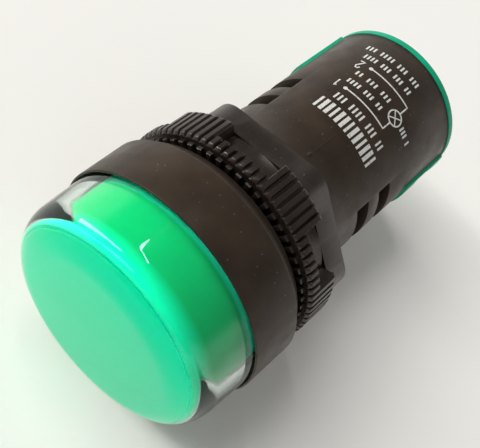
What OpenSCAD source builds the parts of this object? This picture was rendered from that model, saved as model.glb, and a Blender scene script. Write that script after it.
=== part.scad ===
// Panel pilot light for a 22 mm hole: flush housing with a clear lens over a green diffuser,
// a knurled hexagonal ring nut, and a green two-pole screw terminal block in its tail.
// The lamp's axis lies along Y. Stations along it are measured from the panel's front face,
// negative towards the lens and positive towards the terminals.

/* [Bezel] */
// Outer diameter of the bezel
bezel_d = 29; // [26:0.5:34]
// Length of the bezel, from its front lip to its back face
bezel_l = 7.9; // [7:0.1:12]
// Length of the bevel round the back of the bezel
bevel_l = 1.65; // [0.8:0.05:2.4]
// Depth of this bevel, measured inwards
bevel_depth = 1.25; // [0.4:0.05:1.4]
// Narrowing of the bezel's radius towards its front lip
bezel_draft = 0.1; // [0:0.02:0.3]
// Radius of the front lip's outer edge
lip_edge = 0.15; // [0.05:0.05:0.15]
// Thickness of the lip round the lens
lip_wall = 0.24; // [0.2:0.02:0.8]
// Depth at which the lens cover sits behind the lip
lens_seat_depth = 1.15; // [0.8:0.05:1.8]
// Thickness of the floor between the lamp chamber and the gasket groove
floor_t = 2; // [1.2:0.1:2.6]

/* [Neck and sleeve] */
// Pitch diameter of the threaded neck
neck_d = 21.5; // [21.2:0.1:22.5]
// Length of the neck behind the bezel
neck_l = 10.4; // [9.4:0.1:14]
// Outer diameter of the sleeve behind the neck
sleeve_d = 20.8; // [20:0.1:20.9]
// Length of the sleeve
sleeve_l = 24.3; // [23:0.1:32]
// Wall of the sleeve and neck
sleeve_wall = 1.4; // [1.1:0.1:1.7]
// Axial width of each side window
window_w = 2.3; // [1.4:0.1:3]
// Height of each side window, across the sleeve
window_h = 12.9; // [8:0.1:15]
// Distance between the two windows on one side, centre to centre
window_pitch = 4.4; // [3.6:0.1:5.4]
// Distance from the end of the neck to the first window's centre
window_start = 5.4; // [4:0.1:7]
// Width of the wire notch on each side
notch_w = 5.6; // [5:0.1:7]
// Length of the wire notch, up to the tail's end
notch_l = 8.8; // [8.2:0.1:11]

/* [Gasket] */
// Width of the gasket's ring
gasket_w = 1.85; // [1:0.05:2]
// Height that the gasket stands behind the bezel
gasket_proud = 0.5; // [0.3:0.05:1.2]
// Depth of the gasket's groove in the bezel's back face
groove_depth = 0.7; // [0.3:0.05:1]

/* [Lens] */
// Height of the lens cover in front of the bezel
lens_h = 8.9; // [6:0.1:14]
// Wall of the lens cover's side
cover_wall = 1.2; // [0.9:0.05:1.6]
// Thickness of the lens cover's face
cover_face = 1.85; // [0.9:0.05:2.4]
// Radius of the lens cover's rounded edge
cover_round = 4.1; // [2:0.1:5]
// Radius inside the lens cover, where its face meets its side
cover_inner_round = 0.8; // [0.4:0.1:2.5]
// Narrowing of the lens cover's radius towards its face
cover_draft = 0.3; // [0:0.02:0.4]
// Wall of the diffuser
diffuser_wall = 1; // [0.7:0.05:1.4]
// Radius of the diffuser's rounded edge
diffuser_round = 0.8; // [0.4:0.1:2]
// Narrowing of the diffuser's radius towards its face
diffuser_draft = 0.1; // [0:0.05:0.6]
// Gap between the diffuser's face and the lens cover's face
face_gap = 0.05; // [0.05:0.05:1]

/* [Ring nut] */
// Width of the nut's hexagon, across flats
nut_af = 24.2; // [23.6:0.1:27]
// Radius of the hexagon's corners
hex_round = 2.8; // [1.5:0.1:4]
// Whole length of the nut
nut_l = 8; // [7:0.1:9.2]
// Diameter over the nut's ribs
knurl_d = 28.2; // [27:0.1:30]
// Ribs round the whole nut, a multiple of six
rib_count = 84; // [60:6:96]
// Depth of the grooves between the ribs
rib_depth = 0.45; // [0.2:0.05:0.6]
// Share of a rib's pitch taken by its crest
rib_share = 0.62; // [0.4:0.02:0.8]
// Length of the ribbed collar
collar_l = 1.65; // [1:0.05:2.5]
// Length of the long ribs over the hexagon's corners, collar included
long_rib_l = 4.55; // [3.5:0.05:5.5]
// Angle covered by each group of long ribs
group_angle = 28; // [16:1:40]
// Grips on the nut's front face
grip_count = 60; // [36:1:72]
// Height of the grips
grip_h = 0.45; // [0.2:0.05:0.8]
// Distance from the nut's grips to the panel's front face, as it is delivered
nut_gap = 0.3; // [0.3:0.1:6]
// Radial clearance between the nut's thread and the neck's, at the pitch line
thread_clearance = 0.05; // [0.02:0.01:0.1]

/* [Terminal block] */
// Thickness of the block's rim behind the sleeve
rim_t = 1; // [0.6:0.1:1.4]
// Height of the rim above the sleeve
rim_lip = 0.1; // [0:0.05:0.2]
// Length of the block inside the sleeve
plug_l = 9.7; // [9.2:0.1:12]
// Depth of the screw pockets, from the rim's back face
pocket_depth = 7.6; // [7.2:0.1:8.4]
// Wall between the two pockets
divider_t = 1.6; // [1.2:0.1:2]
// Height of the wire holes, along the lamp's axis
wire_hole_l = 4.4; // [4.2:0.1:4.8]
// Width of the wire holes
wire_hole_w = 4.4; // [4.2:0.1:4.6]

/* [Terminals] */
// Width of the contact and clamp plates
plate_w = 5.8; // [5.2:0.1:6]
// Height of the contact and clamp plates
plate_h = 6.4; // [5.6:0.1:6.6]
// Thickness of the contacts
contact_t = 0.8; // [0.5:0.1:1]
// Thickness of the clamp plates
clamp_t = 1; // [0.7:0.1:1.2]
// Distance between a clamp plate and its contact with no wire between them
clamp_gap = 0.35; // [0.3:0.05:0.6]
// Width of the tails that lead from the contacts into the sleeve
tail_w = 2.4; // [1.6:0.1:3]
// Length of the tails in front of the block
tail_l = 2.4; // [1.5:0.1:4]
// Pitch diameter of the terminal screws' thread
screw_d = 2.7; // [2.3:0.1:3]
// Head diameter of the terminal screws
head_d = 5.6; // [4.8:0.1:5.6]
// Head height of the terminal screws
head_h = 2; // [1.6:0.1:2.2]
// Length of the screws under their heads
shank_l = 4.1; // [3.4:0.1:4.4]

/* [Lamp electronics] */
// Thickness of the LED board
led_board_t = 1.6; // [1:0.1:2]
// LEDs in the ring on the LED board
led_count = 6; // [4:1:8]
// Radius of the ring of LEDs
led_ring_r = 7; // [5:0.1:8]
// Width of each LED
led_w = 3; // [2:0.1:3.4]
// Height of each LED
led_h = 0.9; // [0.6:0.1:1.4]
// Width of the driver board
driver_w = 13; // [12:0.1:14]
// Length of the driver board
driver_l = 17.6; // [16:0.1:19]
// Thickness of the driver board
driver_t = 1.2; // [0.8:0.1:1.6]
// Distance of the driver board's top face below the lamp's axis
driver_drop = 2.2; // [1.6:0.1:3]
// Diameter of the capacitor
capacitor_d = 6.3; // [5:0.1:6.6]
// Length of the capacitor
capacitor_l = 7; // [5:0.1:8]
// Diameter of the resistor's body
resistor_d = 2.4; // [1.6:0.1:3]
// Length of the resistor's body
resistor_l = 6.3; // [4:0.1:6.5]
// Diameter of the lead wires over their insulation
wire_d = 1.2; // [0.8:0.1:1.6]

/* [Hidden] */
$fn = 96;
left = -1;
right = 1;
over = 1;                 // how far a cutter runs past what it cuts
seat_gap = 0.1;           // radial play between pieces that seat in one another
pocket_play = 0.3;        // play round the plates in their pockets
small_gap = 0.05;         // running gap under a screw's head

// Radii of the housing
bezel_r = bezel_d / 2;
lip_r = bezel_r - bezel_draft;
recess_r = lip_r - lip_wall;
lens_r = recess_r - seat_gap;
chamber_r = lens_r - cover_wall;
neck_r = neck_d / 2;
sleeve_r = sleeve_d / 2;
bore_r = sleeve_r - sleeve_wall;
gasket_in_r = neck_r + 2 * seat_gap;
gasket_r = gasket_in_r + gasket_w;

// Stations along the axis
bezel_back = -gasket_proud;
bezel_front = bezel_back - bezel_l;
lens_seat = bezel_front + lens_seat_depth;
groove_floor = bezel_back - groove_depth;
chamber_floor = groove_floor - floor_t;
neck_end = bezel_back + neck_l;
neck_step = abs(neck_r - sleeve_r);
sleeve_end = neck_end + sleeve_l;
rim_end = sleeve_end + rim_t;
board_front = chamber_floor - led_board_t;
lens_face = bezel_front - lens_h;
cover_inside = lens_face + cover_face;
diffuser_face = cover_inside + face_gap;
window_first = neck_end + window_start;
notch_start = sleeve_end - notch_l;

// Ring nut
nut_front = nut_gap + grip_h;
nut_bore_r = neck_r + thread_clearance;
hex_flat_r = nut_af / 2;
knurl_r = knurl_d / 2;
root_r = knurl_r - rib_depth;
rib_pitch = 360 / rib_count;
grip_pitch = 360 / grip_count;
grip_out_r = root_r - 0.5;
grip_in_r = nut_bore_r + 0.9;
nut_turn = 11;            // where the nut's first corner stands, from the top
thread_lead_in = 0.4;

// Terminal block and terminals
rim_r = sleeve_r + rim_lip;
plug_r = bore_r - seat_gap;
plug_front = sleeve_end - plug_l;
boss_w = notch_w - 2 * seat_gap;
boss_start = notch_start + seat_gap;
pocket_floor = rim_end - pocket_depth;
pocket_w = plate_w + 2 * pocket_play;
pocket_h = plate_h + 2 * pocket_play;
screw_x = divider_t / 2 + pocket_w / 2;
contact_top = pocket_floor + contact_t;
clamp_bottom = contact_top + clamp_gap;
clamp_top = clamp_bottom + clamp_t;
head_bottom = clamp_top + small_gap;
screw_r = screw_d / 2;
thread_hole_r = screw_r + small_gap;
clamp_hole_r = screw_r + 0.35;
relief_r = screw_r + 0.35;
head_r = head_d / 2;
relief_floor = head_bottom - shank_l - 0.6;
tail_in_x = divider_t / 2 + pocket_play;
tail_end = plug_front - tail_l;

// Driver board and what stands on it
driver_start = chamber_floor;
driver_end = driver_start + driver_l;
pin_w = 0.6;
pin_reach = 1.8;          // pins above the driver board's front edge
pin_count = 4;
pin_pitch = 2.54;
rectifier_size = [6.4, 2.6, 4.8];
part_gap = 0.4;           // between parts that stand one behind the other
pad_l = 1.8;              // end of the board that is left free for the wires' pads
pad_x = 2.6;              // from the axis to each wire's pad
capacitor_start = driver_end - pad_l - capacitor_l;
rectifier_start = capacitor_start - part_gap - rectifier_size[2];
wire_r = wire_d / 2;
wire_sides = 10;

// Turns a shape drawn round the Z axis so that Z points to the terminals and -Y points up
module along_axis() rotate([-90, 0, 0]) children();

// Points of an arc, by centre, radius and angles
function arc(cx, cy, r, a0, a1, steps) =
    [for (i = [0:steps]) let (a = a0 + (a1 - a0) * i / steps) [cx + r * cos(a), cy + r * sin(a)]];

// Corner points of a hexagon with round corners, the first corner towards +X
function round_hexagon(flat_r, corner_r, steps) =
    let (reach = (flat_r - corner_r) / cos(30))
    [for (k = [0:5], p = arc(reach * cos(60 * k), reach * sin(60 * k), corner_r,
                             60 * k - 30, 60 * k + 30, steps)) p];

// ---- Housing: bezel, threaded neck and sleeve in one moulding
module housing_profile() {
    polygon(concat(
        [[bore_r, sleeve_end],
         [sleeve_r, sleeve_end],
         [sleeve_r, neck_end + neck_step],
         [neck_r, neck_end],
         [neck_r, bezel_back],
         [bezel_r - bevel_depth, bezel_back],
         [bezel_r, bezel_back - bevel_l]],
        arc(lip_r - lip_edge, bezel_front + lip_edge, lip_edge, 0, -90, 5),
        [[recess_r, bezel_front],
         [recess_r, lens_seat],
         [chamber_r, lens_seat],
         [chamber_r, chamber_floor],
         [bore_r, chamber_floor]]));
}

// Groove that the gasket is pressed into
module gasket_groove() {
    translate([0, 0, groove_floor]) difference() {
        cylinder(r = gasket_r + seat_gap, h = groove_depth + gasket_proud);
        translate([0, 0, -over]) cylinder(r = neck_r, h = groove_depth + gasket_proud + 2 * over);
    }
}

module side_cut(width, start, length) {
    translate([-bezel_r, -width / 2, start]) cube([bezel_d, width, length]);
}

module housing() {
    color([0.13, 0.12, 0.12]) along_axis() difference() {
        rotate_extrude() housing_profile();
        gasket_groove();
        for (i = [0, 1])
            side_cut(window_h, window_first + i * window_pitch - window_w / 2, window_w);
        side_cut(notch_w, notch_start, notch_l + over);
    }
}

// ---- Gasket in the bezel's back face
module gasket() {
    edge = gasket_proud / 3;
    color([0.09, 0.09, 0.09]) along_axis() rotate_extrude() polygon([
        [gasket_in_r, groove_floor],
        [gasket_r, groove_floor],
        [gasket_r, -edge],
        [gasket_r - edge, 0],
        [gasket_in_r + edge, 0],
        [gasket_in_r, -edge]]);
}

// ---- Lens: clear cover over a coloured diffuser
module cap_profile(base_r, face_r, base, face, round_r, inner_round, wall, face_wall) {
    steps = 10;
    polygon(concat(
        [[base_r - wall, base], [base_r, base]],
        arc(face_r - round_r, face + round_r, round_r, 0, -90, steps),
        [[0, face], [0, face + face_wall]],
        arc(face_r - wall - inner_round, face + face_wall + inner_round, inner_round,
            -90, 0, steps)));
}

module lens_cover() {
    color([0.85, 0.88, 0.86, 0.45]) along_axis() rotate_extrude()
        cap_profile(lens_r, lens_r - cover_draft, lens_seat, lens_face,
                    cover_round, cover_inner_round, cover_wall, cover_face);
}

module diffuser() {
    top_r = chamber_r - cover_draft - seat_gap;
    color([0.0, 0.72, 0.45]) along_axis() rotate_extrude()
        cap_profile(top_r, top_r - diffuser_draft, board_front, diffuser_face,
                    diffuser_round, diffuser_round / 2, diffuser_wall, diffuser_wall);
}

// ---- Electronics
module led_board() {
    color([0.9, 0.9, 0.86]) along_axis() translate([0, 0, board_front])
        cylinder(r = chamber_r - seat_gap, h = led_board_t);
}

module led_chips() {
    lens_dome_r = led_w * 0.36;
    color([0.95, 0.85, 0.35]) along_axis()
        for (i = [0:led_count]) {
            ring_r = i == led_count ? 0 : led_ring_r;
            rotate([0, 0, i * 360 / led_count]) translate([ring_r, 0, board_front - led_h])
                difference() {
                    translate([-led_w / 2, -led_w / 2, 0]) cube([led_w, led_w, led_h]);
                    translate([0, 0, -over]) cylinder(r = lens_dome_r, h = over + led_h / 3);
                }
        }
}

module driver_board() {
    color([0.06, 0.32, 0.18]) along_axis()
        translate([-driver_w / 2, driver_drop, driver_start])
            cube([driver_w, driver_t, driver_l]);
}

module board_pins() {
    color([0.8, 0.75, 0.6]) along_axis()
        for (i = [0:pin_count - 1])
            translate([(i - (pin_count - 1) / 2) * pin_pitch - pin_w / 2,
                       driver_drop - pin_w, driver_start])
                cube([pin_w, pin_w, pin_reach]);
}

module rectifier() {
    leg_w = 0.5;
    leg_reach = 1;
    color([0.12, 0.12, 0.13]) along_axis()
        translate([-rectifier_size[0] / 2, driver_drop - rectifier_size[1], rectifier_start]) {
            cube(rectifier_size);
            for (x = [-leg_reach, rectifier_size[0]], z = [1, rectifier_size[2] - 1 - leg_w])
                translate([x, rectifier_size[1] / 2, z])
                    cube([leg_reach, rectifier_size[1] / 2, leg_w]);
        }
}

module capacitor() {
    can_r = capacitor_d / 2;
    bead = 0.3;
    color([0.1, 0.16, 0.35]) along_axis()
        translate([seat_gap + can_r - driver_w / 2, driver_drop - can_r, capacitor_start])
            rotate_extrude() polygon([
                [0, 0], [can_r - bead, 0], [can_r, bead], [can_r, capacitor_l - 3 * bead],
                [can_r - bead, capacitor_l - 2 * bead], [can_r, capacitor_l - bead],
                [can_r, capacitor_l], [0, capacitor_l]]);
}

module resistor() {
    body_r = resistor_d / 2;
    leg_r = 0.3;
    leg_reach = 0.9;
    x = driver_w / 2 - 2 * body_r;
    start = capacitor_start + (capacitor_l - resistor_l) / 2;
    color([0.72, 0.66, 0.5]) along_axis() translate([x, driver_drop - body_r, start]) {
        cylinder(r = body_r, h = resistor_l, $fn = 48);
        translate([0, 0, -leg_reach]) cylinder(r = leg_r, h = resistor_l + 2 * leg_reach, $fn = 16);
        for (z = [-leg_reach + leg_r, resistor_l + leg_reach - leg_r])
            translate([0, 0, z]) rotate([-90, 0, 0]) cylinder(r = leg_r, h = body_r, $fn = 16);
    }
}

// A round tube along a route that runs mainly along Z
module tube(route, r, sides) {
    last = len(route) - 1;
    function ahead(i) = let (v = route[min(i + 1, last)] - route[max(i - 1, 0)]) v / norm(v);
    function side(i) = let (v = cross([0, 1, 0], ahead(i))) v / norm(v);
    rings = [for (i = [0:last], k = [0:sides - 1])
        let (a = 360 * k / sides)
        route[i] + r * (cos(a) * side(i) + sin(a) * cross(ahead(i), side(i)))];
    walls = [for (i = [0:last - 1], k = [0:sides - 1])
        let (n = (k + 1) % sides)
        [i * sides + k, (i + 1) * sides + k, (i + 1) * sides + n, i * sides + n]];
    front = [[for (k = [0:sides - 1]) k]];
    back = [[for (k = [0:sides - 1]) last * sides + sides - 1 - k]];
    polyhedron(points = rings, faces = concat(front, walls, back));
}

module lead_wires() {
    steps = 10;
    pad = driver_end - wire_d;
    tail_x = tail_in_x + contact_t / 2;
    color([0.7, 0.08, 0.08]) along_axis()
        for (s = [left, right]) {
            route = [for (i = [0:steps])
                let (t = i / steps, sway = (1 - cos(180 * t)) / 2)
                [s * (pad_x + (tail_x - pad_x) * sway),
                 (driver_drop - wire_r) * (1 - sway),
                 pad + (tail_end - pad) * t]];
            tube(route, wire_r, wire_sides);
        }
}

// ---- Terminal block
module pocket(s) {
    x = s * screw_x;
    hole_depth = rim_r;
    translate([x - pocket_w / 2, -pocket_h / 2, pocket_floor])
        cube([pocket_w, pocket_h, pocket_depth + over]);
    translate([s > 0 ? x : x - hole_depth, -wire_hole_w / 2, contact_top])
        cube([hole_depth, wire_hole_w, wire_hole_l]);
    translate([x, 0, relief_floor]) cylinder(r = relief_r, h = pocket_floor - relief_floor + over);
    tail_slot(s);
}

module tail_slot(s) {
    slot_t = contact_t + 2 * small_gap;
    slot_w = tail_w + 2 * small_gap;
    translate([s * (tail_in_x + contact_t / 2) - slot_t / 2, -slot_w / 2, plug_front - over])
        cube([slot_t, slot_w, pocket_floor - plug_front + 2 * over]);
}

module terminal_block() {
    edge = 0.2;
    color([0.0, 0.62, 0.38]) along_axis() difference() {
        union() {
            translate([0, 0, plug_front]) cylinder(r = plug_r, h = plug_l + rim_t / 2);
            rotate_extrude() polygon([
                [0, sleeve_end], [rim_r, sleeve_end], [rim_r, rim_end - edge],
                [rim_r - edge, rim_end], [0, rim_end]]);
            intersection() {
                translate([0, 0, boss_start])
                    cylinder(r = rim_r, h = sleeve_end - boss_start + rim_t / 2);
                translate([-rim_r, -boss_w / 2, boss_start])
                    cube([2 * rim_r, boss_w, sleeve_end - boss_start + rim_t / 2]);
            }
        }
        for (s = [left, right]) pocket(s);
    }
}

// ---- Terminals
module contact(s) {
    x = s * screw_x;
    color([0.82, 0.7, 0.42]) along_axis() difference() {
        union() {
            translate([x - plate_w / 2, -plate_h / 2, pocket_floor])
                cube([plate_w, plate_h, contact_t]);
            translate([s * (tail_in_x + contact_t / 2) - contact_t / 2, -tail_w / 2, tail_end])
                cube([contact_t, tail_w, pocket_floor + contact_t / 2 - tail_end]);
        }
        translate([x, 0, pocket_floor - over])
            cylinder(r = thread_hole_r, h = contact_t + 2 * over, $fn = 48);
    }
}

module clamp_plate(s) {
    corner = 0.8;
    x0 = plate_w / 2;
    y0 = plate_h / 2;
    color([0.75, 0.75, 0.72]) along_axis() translate([s * screw_x, 0, clamp_bottom])
        difference() {
            linear_extrude(clamp_t) polygon([
                [-x0 + corner, -y0], [x0 - corner, -y0], [x0, -y0 + corner], [x0, y0 - corner],
                [x0 - corner, y0], [-x0 + corner, y0], [-x0, y0 - corner], [-x0, -y0 + corner]]);
            translate([0, 0, -over]) cylinder(r = clamp_hole_r, h = clamp_t + 2 * over, $fn = 48);
        }
}

module terminal_screw(s) {
    blade_w = 0.8;
    blade_depth = 1.1;
    blade_l = head_d * 0.72;
    point = 0.4;
    color([0.78, 0.78, 0.76]) along_axis() translate([s * screw_x, 0, head_bottom])
        difference() {
            rotate_extrude($fn = 64) polygon(concat(
                [[0, -shank_l], [screw_r - point, -shank_l], [screw_r, point - shank_l],
                 [screw_r, 0], [head_r, 0]],
                arc(head_r - head_h / 2, head_h / 2, head_h / 2, 0, 90, 6),
                [[0, head_h]]));
            for (a = [45, 135])
                rotate([0, 0, a]) translate([-blade_l / 2, -blade_w / 2, head_h - blade_depth])
                    cube([blade_l, blade_w, blade_depth + over]);
        }
}

module contact_left() { contact(left); }
module contact_right() { contact(right); }
module clamp_left() { clamp_plate(left); }
module clamp_right() { clamp_plate(right); }
module screw_left() { terminal_screw(left); }
module screw_right() { terminal_screw(right); }

// ---- Ring nut: ribbed collar, a ribbed round tier and a hexagonal tier
module knurl() {
    crest = rib_pitch * rib_share / 2;
    groove = rib_pitch * (1 - rib_share) / 4;
    polygon([for (i = [0:rib_count - 1], p = [[knurl_r, -crest], [knurl_r, crest],
                                              [root_r, crest + groove],
                                              [root_r, rib_pitch - crest - groove]])
        let (a = i * rib_pitch + p[1]) [p[0] * cos(a), p[0] * sin(a)]]);
}

module corner_groups() {
    reach = 2 * knurl_r;
    for (k = [0:5])
        rotate(60 * k) polygon([[0, 0],
            [reach, -reach * tan(group_angle / 2)], [reach, reach * tan(group_angle / 2)]]);
}

module grips() {
    half = grip_pitch / 4;
    for (i = [0:grip_count - 1])
        rotate(i * grip_pitch) polygon([
            [grip_in_r * cos(half), -grip_in_r * sin(half)],
            [grip_out_r * cos(half), -grip_out_r * sin(half)],
            [grip_out_r * cos(half), grip_out_r * sin(half)],
            [grip_in_r * cos(half), grip_in_r * sin(half)]]);
}

module ribbed_front() {
    intersection() {
        union() {
            linear_extrude(collar_l) knurl();
            linear_extrude(long_rib_l) intersection() { knurl(); corner_groups(); }
            cylinder(r = hex_flat_r, h = long_rib_l + over);
        }
        rotate_extrude() polygon([
            [0, 0], [root_r, 0], [knurl_r, rib_depth], [knurl_r, long_rib_l - rib_depth],
            [root_r, long_rib_l], [root_r, long_rib_l + over], [0, long_rib_l + over]]);
    }
}

module ring_nut() {
    body_l = nut_l - grip_h;
    color([0.12, 0.11, 0.11]) along_axis() translate([0, 0, nut_front])
        rotate([0, 0, nut_turn - 90]) difference() {
            union() {
                ribbed_front();
                translate([0, 0, long_rib_l])
                    linear_extrude(body_l - long_rib_l)
                        polygon(round_hexagon(hex_flat_r, hex_round, 6));
                translate([0, 0, -grip_h]) linear_extrude(grip_h + over / 2) grips();
            }
            translate([0, 0, -grip_h - over]) cylinder(r = nut_bore_r, h = nut_l + 2 * over);
            translate([0, 0, body_l - thread_lead_in])
                cylinder(r1 = nut_bore_r, r2 = nut_bore_r + thread_lead_in + over,
                         h = thread_lead_in + over);
        }
}

housing();
gasket();
lens_cover();
diffuser();
led_board();
led_chips();
driver_board();
board_pins();
rectifier();
capacitor();
resistor();
lead_wires();
terminal_block();
contact_left();
contact_right();
ring_nut();
clamp_left();
clamp_right();
screw_left();
screw_right();
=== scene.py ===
"""Looks of the panel pilot light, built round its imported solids. Lengths are in millimetres,
and mm turns them into Blender's metres. The lamp's axis lies along Y, its lens towards -Y."""
import math

import bmesh
import bpy
from mathutils import Matrix, Vector


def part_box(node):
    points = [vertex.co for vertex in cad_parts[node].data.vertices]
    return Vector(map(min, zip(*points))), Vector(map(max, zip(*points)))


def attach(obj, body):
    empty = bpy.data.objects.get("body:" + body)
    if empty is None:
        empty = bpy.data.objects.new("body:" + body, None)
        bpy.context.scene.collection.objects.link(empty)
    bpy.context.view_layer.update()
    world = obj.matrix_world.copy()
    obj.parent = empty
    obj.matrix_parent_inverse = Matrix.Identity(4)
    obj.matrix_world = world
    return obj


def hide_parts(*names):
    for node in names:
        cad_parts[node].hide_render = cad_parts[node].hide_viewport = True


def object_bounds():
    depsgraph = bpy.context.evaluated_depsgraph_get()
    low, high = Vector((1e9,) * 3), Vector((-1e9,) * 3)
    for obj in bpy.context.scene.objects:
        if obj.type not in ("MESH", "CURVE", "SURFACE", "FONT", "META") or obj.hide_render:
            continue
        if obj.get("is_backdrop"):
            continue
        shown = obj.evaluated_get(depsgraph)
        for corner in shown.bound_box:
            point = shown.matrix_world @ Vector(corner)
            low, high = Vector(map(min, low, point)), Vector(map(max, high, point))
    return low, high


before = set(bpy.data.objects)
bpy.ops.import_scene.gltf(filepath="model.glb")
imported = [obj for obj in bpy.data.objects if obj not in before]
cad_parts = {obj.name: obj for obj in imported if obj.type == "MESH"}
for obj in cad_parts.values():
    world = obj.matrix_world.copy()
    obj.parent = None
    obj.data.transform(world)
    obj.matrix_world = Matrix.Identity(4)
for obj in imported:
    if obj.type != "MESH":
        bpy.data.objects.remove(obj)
cad_low, cad_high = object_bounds()
mm = 0.001

# ---- Bench and viewpoint
# The lamp lies over a white bench top, lit by a broad soft lamp, a tall narrow lamp to the left
# and a thin tube overhead.
# The viewer looks down on it from the lens end, with the lens to the lower left.
EYE = Vector((3.81, -48.32, 86.80))
LOOK_DOWN, LOOK_ACROSS, EYE_ROLL = 55.17, -0.35, 50.25
EYE_LENS, EYE_SHIFT = 65.32, (-0.125, -0.0188)


def look_matrix(eye, down, across, roll):
    """A camera's matrix from its place and its angles in degrees."""
    d, a, r = (math.radians(x) for x in (down, across, roll))
    ahead = Vector((-math.sin(a) * math.cos(d), math.cos(a) * math.cos(d), -math.sin(d)))
    level = ahead.cross(Vector((0, 0, 1))).normalized()
    upright = level.cross(ahead)
    up = upright * math.cos(r) - level * math.sin(r)
    turn = Matrix((ahead.cross(up), up, -ahead)).transposed()
    return Matrix.Translation(eye * mm) @ turn.to_4x4()


eye_data = bpy.data.cameras.new("viewer")
eye_data.lens = EYE_LENS
eye_data.shift_x, eye_data.shift_y = EYE_SHIFT
eye_data.clip_start, eye_data.clip_end = 0.005, 10
viewer = bpy.data.objects.new("viewer", eye_data)
viewer.matrix_world = look_matrix(EYE, LOOK_DOWN, LOOK_ACROSS, EYE_ROLL)
bpy.context.scene.collection.objects.link(viewer)
bpy.context.scene.camera = viewer


def area_lamp(name, place, aim, width, length, watts, colour):
    """A flat lamp at place that shines at aim. Its length runs along its own Y."""
    data = bpy.data.lights.new(name, "AREA")
    data.shape = "RECTANGLE"
    data.size, data.size_y = width * mm, length * mm
    data.energy, data.color = watts, colour
    lamp = bpy.data.objects.new(name, data)
    lamp.location = Vector(place) * mm
    lamp.rotation_mode = "QUATERNION"
    lamp.rotation_quaternion = (Vector(aim) - Vector(place)).to_track_quat("-Z", "Y")
    bpy.context.scene.collection.objects.link(lamp)
    return lamp


ceiling_tube = area_lamp("ceiling_tube", (-440, 250, 1000), (-440, 250, 0), 390, 30, 1.3,
                         (1.0, 0.99, 0.97))
ceiling_tube.rotation_quaternion = Matrix.Rotation(math.radians(-34.5), 4, "Z").to_quaternion()

# The tall lamp stands to the left, its foot close to the bench and its head leaning away.
foot, head = Vector((-695, -80, 40)), Vector((-1166, -594, 1500))
tall_lamp = area_lamp("tall_lamp", (foot + head) / 2, (0, 0, 0), 95, (head - foot).length, 9.0,
                      (1.0, 0.985, 0.96))
rise = (head - foot).normalized()
away = tall_lamp.location.normalized()
away = (away - away.dot(rise) * rise).normalized()
tall_lamp.rotation_quaternion = Matrix((rise.cross(away), rise, away)).transposed().to_quaternion()

# The soft lamp is far off, so it lights the whole bench top evenly.
far_data = bpy.data.lights.new("soft_lamp", "SUN")
far_data.energy, far_data.angle, far_data.color = 1.55, math.radians(38), (1.0, 0.985, 0.96)
soft_lamp = bpy.data.objects.new("soft_lamp", far_data)
soft_lamp.rotation_mode = "QUATERNION"
soft_lamp.rotation_quaternion = Vector((0.62, 0.12, -0.78)).to_track_quat("-Z", "Y")
soft_lamp.visible_glossy = False
bpy.context.scene.collection.objects.link(soft_lamp)


def node_at(tree, kind, **settings):
    """A new shader node with its settings."""
    made = tree.nodes.new(kind)
    for key, value in settings.items():
        setattr(made, key, value)
    return made


world = bpy.data.worlds.new("room")
bpy.context.scene.world = world
world.use_nodes = True
room = world.node_tree
room.nodes.clear()
towards = node_at(room, "ShaderNodeTexCoord")
height = node_at(room, "ShaderNodeSeparateXYZ")
room.links.new(towards.outputs["Generated"], height.inputs[0])
fade = node_at(room, "ShaderNodeValToRGB")
fade.color_ramp.elements[0].position, fade.color_ramp.elements[1].position = 0.2, 0.34
fade.color_ramp.elements[0].color = (0.97, 0.965, 0.95, 1)
fade.color_ramp.elements[1].color = (0.25, 0.25, 0.25, 1)
room.links.new(height.outputs["Z"], fade.inputs[0])
room_light = node_at(room, "ShaderNodeBackground")
room.links.new(fade.outputs[0], room_light.inputs["Color"])
room_out = node_at(room, "ShaderNodeOutputWorld")
room.links.new(room_light.outputs[0], room_out.inputs["Surface"])

BENCH_SIZE = 6000
bench_mesh = bpy.data.meshes.new("bench")
half = BENCH_SIZE / 2 * mm
bench_z = cad_low.z
bench_mesh.from_pydata([(-half, -half, bench_z), (half, -half, bench_z),
                        (half, half, bench_z), (-half, half, bench_z)], [], [(0, 1, 2, 3)])
bench = bpy.data.objects.new("bench", bench_mesh)
bpy.context.scene.collection.objects.link(bench)
bench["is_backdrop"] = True
bench_finish = bpy.data.materials.new("bench_top")
bench_finish.use_nodes = True
top = bench_finish.node_tree.nodes["Principled BSDF"]
top.inputs["Base Color"].default_value = (0.96, 0.945, 0.91, 1)
top.inputs["Roughness"].default_value = 0.8
top.inputs["Specular IOR Level"].default_value = 0.2
bench_mesh.materials.append(bench_finish)

scene = bpy.context.scene
scene.view_settings.view_transform = "Standard"

# ---- Housing
# Bezel, threaded neck and sleeve in one satin black moulding. Two cooling windows and a wire
# notch are cut through each side of the sleeve, and the tool's parting shows along the top.
low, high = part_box("housing")
bezel_front, sleeve_end = low.y / mm, high.y / mm
bezel_r = high.x / mm
gasket_low, gasket_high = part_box("gasket")
groove_floor, groove_r = gasket_low.y / mm, gasket_high.x / mm + 0.1
bezel_back, bezel_flat_r = -0.5, bezel_r - 1.25
bevel_start = bezel_back - 1.65
lip_r, lip_edge = bezel_r - 0.1, 0.15
lens_low, lens_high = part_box("lens_cover")
lens_seat = lens_high.y / mm
recess_r = lens_high.x / mm + 0.1
chamber_r, chamber_floor = recess_r - 1.3, -3.2
neck_end, thread_root_r, thread_crest_r, thread_pitch = 9.9, 10.58, 10.92, 1.5
sleeve_r, bore_r = 10.4, 9.0
window_centres, window_width, window_height = (15.3, 19.7), 2.3, 12.9
notch_start, notch_width = 25.4, 5.6
EDGE = 0.12               # radius that the mould leaves on an edge


def linked(name, mesh):
    """An object of this mesh in the scene."""
    made = bpy.data.objects.new(name, mesh)
    bpy.context.scene.collection.objects.link(made)
    return made


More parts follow.
